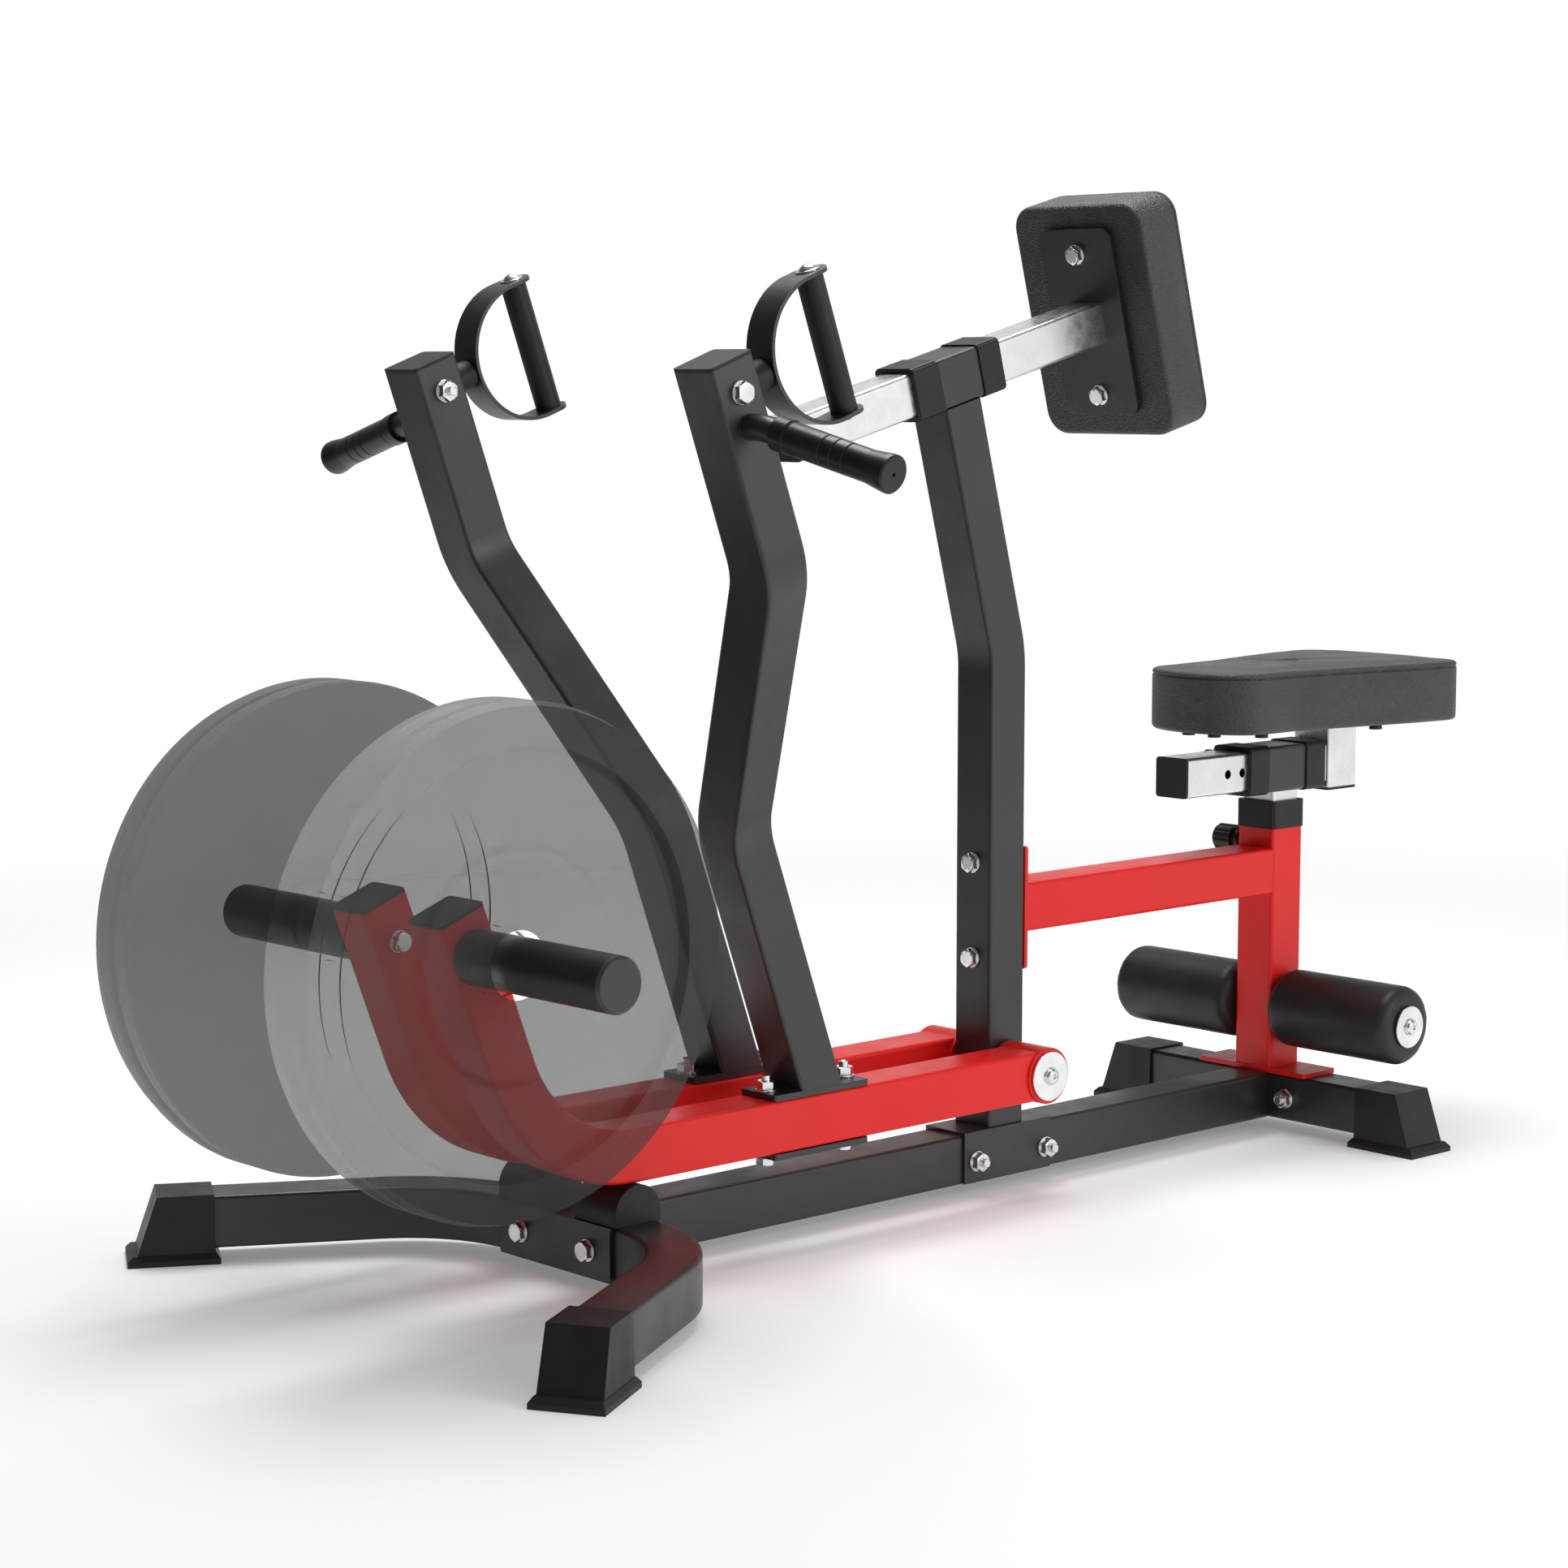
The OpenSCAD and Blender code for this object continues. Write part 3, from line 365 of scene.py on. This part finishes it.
def threaded_end(bm, low, high):
    """Bolt end with thread crests, pointed a little."""
    profile = [(SHANK - 0.5 * MM, low)]
    z = low
    while z + THREAD_PITCH < high - 0.8 * MM:
        profile += [(SHANK - 0.5 * MM, z + 0.2 * THREAD_PITCH), (SHANK, z + 0.5 * THREAD_PITCH),
                    (SHANK, z + 0.62 * THREAD_PITCH), (SHANK - 0.5 * MM, z + 0.95 * THREAD_PITCH)]
        z += THREAD_PITCH
    profile += [(SHANK - 0.6 * MM, high - 0.6 * MM), (SHANK - 1.3 * MM, high)]
    turned(bm, profile, STEPS)


def bolt(length, with_nut):
    """Hexagon bolt of a total length, from its head's outer face at the origin along -Z."""
    part = bmesh.new()
    hexagon(part, -HEAD_HEIGHT, 0, False)
    washer(part, -HEAD_HEIGHT - WASHER[1])
    under_head = -HEAD_HEIGHT
    if with_nut:
        nut_top = -length + STUD
        hexagon(part, nut_top, nut_top + NUT_HEIGHT, True)
        washer(part, nut_top + NUT_HEIGHT)
        turned(part, [(SHANK, nut_top + 1 * MM), (SHANK, under_head + 1 * MM)], STEPS)
        threaded_end(part, nut_top, nut_top - STUD)
    else:
        turned(part, [(SHANK, -length), (SHANK, under_head + 1 * MM)], STEPS)
    return part


def islands(node):
    """Points of each separate solid of a CAD node."""
    mesh = NODES[node].data
    group = list(range(len(mesh.vertices)))

    def root(i):
        while group[i] != i:
            group[i] = group[group[i]]
            i = group[i]
        return i

    spots = {}
    for v in mesh.vertices:
        key = tuple(round(c, 6) for c in v.co)
        group[v.index] = spots.setdefault(key, v.index)
    for edge in mesh.edges:
        a, b = (root(i) for i in edge.vertices)
        group[a] = b
    found = {}
    for v in mesh.vertices:
        found.setdefault(root(v.index), []).append(v.co.copy())
    return list(found.values())


def replace_bolts(node, body, material, axis=(0, 0, 1), axis_of=None):
    """Swaps a node's plain bolts for chamfered, washered and threaded ones in the same places."""
    whole = bmesh.new()
    scrap = bpy.data.meshes.new("scrap")
    for points in islands(node):
        turn = axes(axis_of(points) if axis_of else axis)
        local = [turn.inverted() @ p for p in points]
        low, high = (Vector([pick(p[i] for p in local) for i in range(3)]) for pick in (min, max))
        middle = (low + high) / 2
        wide = [p.z for p in local if (p.xy - middle.xy).length > 1.3 * SHANK]
        length = high.z - low.z
        made = bolt(length, max(wide) - min(wide) > 0.5 * length)
        if high.z - max(wide) < min(wide) - low.z:
            place = Matrix.Translation((middle.x, middle.y, high.z))
        else:
            place = Matrix.Translation((middle.x, middle.y, low.z))
            place = place @ Matrix.Rotation(math.pi, 4, "X")
        made.transform(turn @ place)
        made.to_mesh(scrap)
        made.free()
        whole.from_mesh(scrap)
    bpy.data.meshes.remove(scrap)
    mesh = bpy.data.meshes.new(node + "_detail")
    finish_mesh(whole, mesh)
    piece = new_piece(node + "_detail", body, material, mesh)
    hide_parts(node)


# ---------------------------------------------------------------- soft pads

CELL = 6 * MM  # size of the simulated cloth's cells
SWELL_FRAMES = 20
SWELL_PRESSURE = 0.3
PAD_SLACK = 0.6 * MM  # how far inside its CAD solid a pad starts
PAD_EDGE = 5 * MM  # radius of a pad's bottom and top edges
HELD_SIDE = 14 * MM  # height of the side's lower strip, which is stapled to the board
SWELL_CAP = 5 * MM  # furthest that the simulation may move a point
SEAM_DEPTH = 6 * MM  # from a pad's top edge down to its seam
SEAM_REACH = 1.8 * MM  # half width of the strip that the seam pulls in
POINTS_ROUND = 200


def outline_points(points, centre, count):
    """Evenly spaced points round a flat, star-shaped outline."""
    spots = {(round(p.x, 6), round(p.y, 6)) for p in points}
    ordered = sorted(spots, key=lambda p: math.atan2(p[1] - centre[1], p[0] - centre[0]))
    ring = [Vector(p) for p in ordered]
    lengths = [(ring[(i + 1) % len(ring)] - ring[i]).length for i in range(len(ring))]
    step = sum(lengths) / count
    made, i, passed = [], 0, 0.0
    for k in range(count):
        wanted = k * step
        while passed + lengths[i] < wanted:
            passed += lengths[i]
            i += 1
        share = (wanted - passed) / lengths[i]
        made.append(ring[i].lerp(ring[(i + 1) % len(ring)], share))
    return made


def pad_rings(outline, rows):
    """Rings of (x, y, z) from rows of (inset, height, share of the way to the middle)."""
    count = len(outline)
    centre = sum(outline, Vector((0, 0))) / count
    rings = []
    for inset, height, share in rows:
        ring = []
        for i, p in enumerate(outline):
            along = outline[(i + 1) % count] - outline[i - 1]
            inward = Vector((-along.y, along.x)).normalized()
            q = (p + inward * inset).lerp(centre, share)
            ring.append((q.x, q.y, height))
        rings.append(ring)
    return rings


def swollen(start_mesh, pinned):
    """Cloth simulation of a closed shape under pressure: (tree of start points, their moves)."""
    scene = bpy.context.scene
    dough = bpy.data.objects.new("dough", start_mesh.copy())
    scene.collection.objects.link(dough)
    remesh = dough.modifiers.new("remesh", "REMESH")
    remesh.mode = "VOXEL"
    remesh.voxel_size = CELL
    remeshed = dough.evaluated_get(bpy.context.evaluated_depsgraph_get())
    fine = bpy.data.meshes.new_from_object(remeshed)
    dough.modifiers.clear()
    dough.data = fine
    start = [v.co.copy() for v in dough.data.vertices]
    held = dough.vertex_groups.new(name="held")
    held.add([i for i, p in enumerate(start) if pinned(p)], 1.0, "REPLACE")
    cloth = dough.modifiers.new("cloth", "CLOTH")
    cloth.settings.use_pressure = True
    cloth.settings.uniform_pressure_force = SWELL_PRESSURE
    cloth.settings.effector_weights.gravity = 0.0
    cloth.settings.vertex_group_mass = "held"
    cloth.point_cache.frame_end = SWELL_FRAMES
    for number in range(1, SWELL_FRAMES + 1):
        scene.frame_set(number)
    moved = dough.evaluated_get(bpy.context.evaluated_depsgraph_get()).to_mesh()
    moves = [v.co - p for v, p in zip(moved.vertices, start)]
    tree = kdtree.KDTree(len(start))
    for i, p in enumerate(start):
        tree.insert(p, i)
    tree.balance()
    bpy.data.objects.remove(dough)
    scene.frame_set(1)
    return tree, moves


def swell(mesh, pinned, cap):
    """Moves a pad's points outward as the simulated cloth moved, no further than the cap."""
    tree, moves = swollen(mesh, pinned)
    for v in mesh.vertices:
        near = tree.find_n(v.co, 8)
        weights = [1 / (distance + 0.5 * MM) for _, _, distance in near]
        move = sum((moves[i] * w for (_, i, _), w in zip(near, weights)), Vector()) / sum(weights)
        v.co += v.normal * min(max(0.0, move.dot(v.normal)), cap)


def soft_pad(name, body, node, local, crown, material):
    """A crowned, seamed cushion in its CAD solid's space. local turns its thickness to Z."""
    back = local.inverted()
    points = [back @ v.co for v in NODES[node].data.vertices]
    low, high = (Vector([pick(p[i] for p in points) for i in range(3)]) for pick in (min, max))
    rim = [p.xy for p in points if p.z > high.z - 0.1 * MM]
    centre = (low.xy + high.xy) / 2
    outline = outline_points(rim, centre, POINTS_ROUND)
    slack, edge = PAD_SLACK, PAD_EDGE
    bottom, top = low.z + 0.2 * MM, high.z - crown - slack
    seam_z = top - SEAM_DEPTH
    rows = [(slack, bottom, share) for share in (0.97, 0.8, 0.6, 0.4, 0.2, 0.1)]
    for i in range(5):
        turn = math.radians(90 * i / 4)
        rows.append((slack + edge * (1 - math.sin(turn)), bottom + edge * (1 - math.cos(turn)), 0))
    wall = seam_z - 3 * MM - (bottom + edge)
    rows += [(slack, bottom + edge + wall * i / 7, 0) for i in range(1, 8)]
    seam_row = len(rows) + 2
    steps = (-SEAM_REACH, -0.8 * MM, 0, 0.8 * MM, SEAM_REACH)
    rows += [(slack, seam_z + step, 0) for step in steps]
    lip_z = seam_z + SEAM_REACH
    for i in range(1, 6):
        turn = math.radians(90 * i / 5)
        inset = slack + edge * (1 - math.cos(turn))
        rows.append((inset, lip_z + (top - lip_z) * math.sin(turn), 0))
    inner = slack + edge
    for share in (0.04, 0.09, 0.15, 0.22, 0.3, 0.4, 0.5, 0.6, 0.7, 0.8, 0.9, 0.97):
        rise = crown * (1 - (1 - share) ** 2.2)
        rows.append((inner, top + rise, share))
    bm = bmesh.new()
    skin_rings(bm, pad_rings(outline, rows))
    mesh = bpy.data.meshes.new(name)
    finish_mesh(bm, mesh, sharp=180)
    swell(mesh, lambda p: p.z < bottom + HELD_SIDE, SWELL_CAP)
    normals = [v.normal.copy() for v in mesh.vertices]
    for row, depth in ((-1, 0.6), (0, 1.7), (1, 0.6)):
        for i in range(POINTS_ROUND):
            k = (seam_row + row) * POINTS_ROUND + i
            mesh.vertices[k].co -= normals[k] * depth * MM
    mesh.transform(local)
    mesh.update()
    piece = new_piece(name, body, material, mesh)
    smooth = piece.modifiers.new("smooth", "SUBSURF")
    smooth.levels = smooth.render_levels = 1
    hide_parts(node)
    return piece


# ---------------------------------------------------------------- foam rollers

ROLLER_STEPS = 144


def foam_roller(side, material):
    """Foam sleeve with full round shoulders and small folds where the washer grips its end."""
    node = f"foam_roller_{side}"
    low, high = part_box(node)
    length, radius = high.y - low.y, (high.z - low.z) / 2
    bore = 12.7 * MM
    shoulder = 13 * MM
    profile = [(bore, length / 2)]
    profile += [(bore, 0.6 * MM), (bore + 1.5 * MM, 0), (radius - shoulder - 4 * MM, 0)]
    for i in range(9):
        turn = math.radians(90 * i / 8)
        profile.append((radius - shoulder * (1 - math.sin(turn)), shoulder * (1 - math.cos(turn))))
    straight = length - 2 * shoulder
    belly = [(radius, shoulder + straight * i / 10) for i in range(1, 10)]
    mirrored = [(r, length - h) for r, h in reversed(profile[1:])]
    bm = bmesh.new()
    turned(bm, profile + belly + mirrored, ROLLER_STEPS, hollow=True)
    for v in bm.verts:
        r = v.co.xy.length
        angle = math.atan2(v.co.y, v.co.x)
        end = min(v.co.z, length - v.co.z)
        fold = max(0.0, 1 - end / (1.6 * shoulder)) * min(1.0, max(0.0, r - 20 * MM) / (10 * MM))
        wave = math.sin(11 * angle) + 0.6 * math.sin(17 * angle + 1.3) + 0.5 * math.sin(29 * angle)
        dent = 0.35 * MM * fold * wave + 0.25 * MM * math.sin(3 * angle + 40 * v.co.z)
        if r > bore + 1 * MM:
            v.co.xy *= (r - 0.7 * MM - dent * 0.5) / r
    mesh = bpy.data.meshes.new(node + "_skin")
    middle = (low + high) / 2
    place = Matrix.Translation((middle.x, low.y, middle.z)) @ Matrix.Rotation(-math.pi / 2, 4, "X")
    finish_mesh(bm, mesh, place, sharp=60)
    piece = new_piece(node + "_skin", node, material, mesh)
    smooth = piece.modifiers.new("smooth", "SUBSURF")
    smooth.levels = smooth.render_levels = 1
    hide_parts(node)


# ---------------------------------------------------------------- axle ends


def axle_end(bm, radius):
    """Washer disc, small washer and domed socket screw along Z, from the disc's inner face."""
    edge = 0.5 * MM
    turned(bm, [(6 * MM, 0), (radius - edge, 0), (radius, edge), (radius, 3 * MM - edge),
                (radius - edge, 3 * MM), (6 * MM, 3 * MM)], 2 * STEPS, hollow=True)
    turned(bm, [(5 * MM, 2.9 * MM), (9 * MM, 2.9 * MM), (9 * MM, 4.6 * MM), (8.6 * MM, 5 * MM),
                (5 * MM, 5 * MM)], STEPS, hollow=True)
    dome = [(7.6 * MM, 4.9 * MM), (8 * MM, 5.1 * MM)]
    for i in range(1, 6):
        turn = math.radians(75 * i / 5)
        dome.append((8 * MM * math.cos(turn * 0.82), (5.1 + 3.4 * math.sin(turn)) * MM))
    rings = [ring_at(r, h, STEPS) for r, h in dome]
    shrink = 2.6 * MM / HEAD_FLAT
    top = dome[-1][1]
    for height in (top, top - 2.2 * MM):
        ring = []
        for i in range(STEPS):
            angle = 2 * math.pi * i / STEPS
            r = hex_radius(angle) * shrink
            ring.append((r * math.cos(angle), r * math.sin(angle), height))
        rings.append(ring)
    skin_rings(bm, rings)


def axle_ends(material):
    whole = bmesh.new()
    scrap = bpy.data.meshes.new("scrap")
    for points in islands("axle_washers"):
        low, high = (Vector([pick(p[i] for p in points) for i in range(3)]) for pick in (min, max))
        middle = (low + high) / 2
        part = bmesh.new()
        axle_end(part, (high.x - low.x) / 2)
        outward = 1 if middle.y > 0 else -1
        inner = low.y if outward > 0 else high.y
        part.transform(Matrix.Translation((middle.x, inner, middle.z)) @ axes((0, outward, 0)))
        part.to_mesh(scrap)
        part.free()
        whole.from_mesh(scrap)
    bpy.data.meshes.remove(scrap)
    mesh = bpy.data.meshes.new("axle_ends")
    finish_mesh(whole, mesh)
    piece = new_piece("axle_ends", "frame", material, mesh)
    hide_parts("axle_washers")


# ---------------------------------------------------------------- stage

FLOOR_RADIUS = 3.4
FLOOR_GLOW = 0.18  # lifts the floor to white where no shadow falls
FADE = (1.1, 3.2)  # distances from the middle between which the floor fades out
FLOOR_PAINT = ((0.88, 0.9, 0.9, 1), (0.895, 0.915, 0.915, 1))


def add_floor():
    s = Shader("floor_paint")
    s.set(Base_Color=s.mix(s.noise(2, 2), *FLOOR_PAINT), Roughness=0.85)
    s.set(Emission_Color=grey(1.0), Emission_Strength=FLOOR_GLOW)
    reach = s.node("ShaderNodeVectorMath", {0: s.place}, operation="LENGTH").outputs["Value"]
    inputs = {"Value": reach, "From Min": FADE[0], "From Max": FADE[1], "To Min": 1.0,
              "To Max": 0.0}
    fade = s.node("ShaderNodeMapRange", inputs, interpolation_type="SMOOTHERSTEP")
    s.set(Alpha=fade.outputs[0])
    bm = bmesh.new()
    bmesh.ops.create_circle(bm, cap_ends=True, segments=96, radius=FLOOR_RADIUS)
    mesh = bpy.data.meshes.new("floor")
    bm.to_mesh(mesh)
    bm.free()
    mesh.materials.append(s.mat)
    floor = bpy.data.objects.new("floor", mesh)
    bpy.context.scene.collection.objects.link(floor)


def add_lamp(name, place, size, power, towards=(0, 0, 0.4)):
    data = bpy.data.lights.new(name, "AREA")
    data.shape = "DISK"
    data.size = size
    data.energy = power
    lamp = bpy.data.objects.new(name, data)
    lamp.location = place
    aim(lamp, Vector(towards) - Vector(place))
    bpy.context.scene.collection.objects.link(lamp)


BRIGHT_SIDE = (0.86, -0.43, 0.28)  # the way to the brightest part of the studio
SKY_SPAN = {"From Min": -0.8, "From Max": 0.5, "To Min": 0.12, "To Max": 0.95}
CEILING_SPAN = {"From Min": 0.2, "From Max": 0.5, "To Min": 1.0, "To Max": 0.4}


def add_world():
    """White behind the object; the studio round it is darker overhead and at the plates' end."""
    world = bpy.data.worlds.new("studio")
    world.use_nodes = True
    tree = world.node_tree
    sky = tree.nodes["Background"]
    sky.inputs["Color"].default_value = grey(1.0)
    place = tree.nodes.new("ShaderNodeTexCoord").outputs["Generated"]
    dot = tree.nodes.new("ShaderNodeVectorMath")
    dot.operation = "DOT_PRODUCT"
    tree.links.new(place, dot.inputs[0])
    dot.inputs[1].default_value = BRIGHT_SIDE
    span = tree.nodes.new("ShaderNodeMapRange")
    span.interpolation_type = "SMOOTHSTEP"
    tree.links.new(dot.outputs["Value"], span.inputs["Value"])
    for socket, value in SKY_SPAN.items():
        span.inputs[socket].default_value = value
    seen = tree.nodes.new("ShaderNodeLightPath").outputs["Is Camera Ray"]
    mix = tree.nodes.new("ShaderNodeMix")
    tree.links.new(seen, mix.inputs["Factor"])
    height = tree.nodes.new("ShaderNodeSeparateXYZ")
    tree.links.new(place, height.inputs[0])
    ceiling = tree.nodes.new("ShaderNodeMapRange")
    tree.links.new(height.outputs["Z"], ceiling.inputs["Value"])
    for socket, value in CEILING_SPAN.items():
        ceiling.inputs[socket].default_value = value
    dimmed = tree.nodes.new("ShaderNodeMath")
    dimmed.operation = "MULTIPLY"
    tree.links.new(span.outputs[0], dimmed.inputs[0])
    tree.links.new(ceiling.outputs[0], dimmed.inputs[1])
    tree.links.new(dimmed.outputs[0], mix.inputs["A"])
    mix.inputs["B"].default_value = 1.0
    tree.links.new(mix.outputs["Result"], sky.inputs["Strength"])
    bpy.context.scene.world = world


# ---------------------------------------------------------------- everything in place

add_camera()

BLACK = coated_steel("black_coat", grey(0.0105), grey(0.0145), grey(0.05), 0.7)
RED = coated_steel("red_coat", (0.76, 0.007, 0.005, 1), (0.8, 0.01, 0.008, 1),
                   (0.8, 0.07, 0.05, 1), 0.37)
ZINC = plated_steel("zinc_plate", (0.84, 0.84, 0.85, 1), (0.76, 0.76, 0.77, 1), 0.24, 0.34)
BOLT = plated_steel("bolt_plate", (0.85, 0.85, 0.86, 1), (0.72, 0.72, 0.73, 1), 0.14, 0.24)
PLASTIC = moulded("black_plastic_grain", grey(0.009), grey(0.013), 0.42, 0.54, 900)
RUBBER = moulded("grip_rubber_skin", grey(0.009), grey(0.014), 0.3, 0.4, 500)
# The far plates get a more opaque copy of the same ghost, so they read darker: painted shade for
# the weaker light on their inner faces.
NEAR_GHOST = see_through("plate_ghost_left", 0.765, "plate_left_outer")
FAR_GHOST = see_through("plate_ghost_right", 0.865, "plate_right_outer")
LEATHER = leather()
FOAM = foam()

BY_SLOT = {"black_steel": BLACK, "red_steel": RED, "zinc_steel": ZINC, "black_plastic": PLASTIC,
           "grip_rubber": RUBBER, "roller_foam": FOAM, "black_leather": LEATHER}
for part in frame["record"]["subparts"]:
    node = part["node"]
    slot = part["material_slot"]
    if slot == "see_through":
        finish = NEAR_GHOST if "left" in node else FAR_GHOST
    elif slot == "zinc_steel" and "bolts" in node:
        finish = BOLT
    else:
        finish = BY_SLOT[slot]
    mesh = NODES[node].data
    mesh.materials.clear()
    mesh.materials.append(finish)
    for face in mesh.polygons:
        face.material_index = 0


def longest_side(points):
    """X, Y or Z: the side of a bolt's box that is longest."""
    sides = [max(p[i] for p in points) - min(p[i] for p in points) for i in range(3)]
    return [(1, 0, 0), (0, 1, 0), (0, 0, 1)][sides.index(max(sides))]


MAST_LEAN = math.radians(15)
replace_bolts("frame_bolts", "frame", BOLT, axis_of=longest_side)
MAST_AHEAD = (math.cos(MAST_LEAN), 0, math.sin(MAST_LEAN))
replace_bolts("chest_bolts", "chest_slide", BOLT, axis=MAST_AHEAD)
for side in SIDES:
    replace_bolts(f"lever_bolts_{side}", f"lever_{side}", BOLT, axis_of=longest_side)
    foam_roller(side, FOAM)
axle_ends(BOLT)

UPRIGHT = Matrix.Identity(4)
LEANING = Matrix.Rotation(-MAST_LEAN, 4, "Y") @ Matrix.Rotation(math.pi / 2, 4, "Y")
soft_pad("seat_cushion", "seat_slide", "seat_pad", UPRIGHT, 1.5 * MM, LEATHER)
soft_pad("chest_cushion", "chest_slide", "chest_pad", LEANING, 2 * MM, LEATHER)

add_floor()
add_world()
add_lamp("top_soft", (0.5, 0.65, 3.4), 2.2, 92)
add_lamp("side_soft", (0.9, -3.2, 1.6), 2.0, 28)

scene = bpy.context.scene
scene.view_settings.view_transform = "Standard"
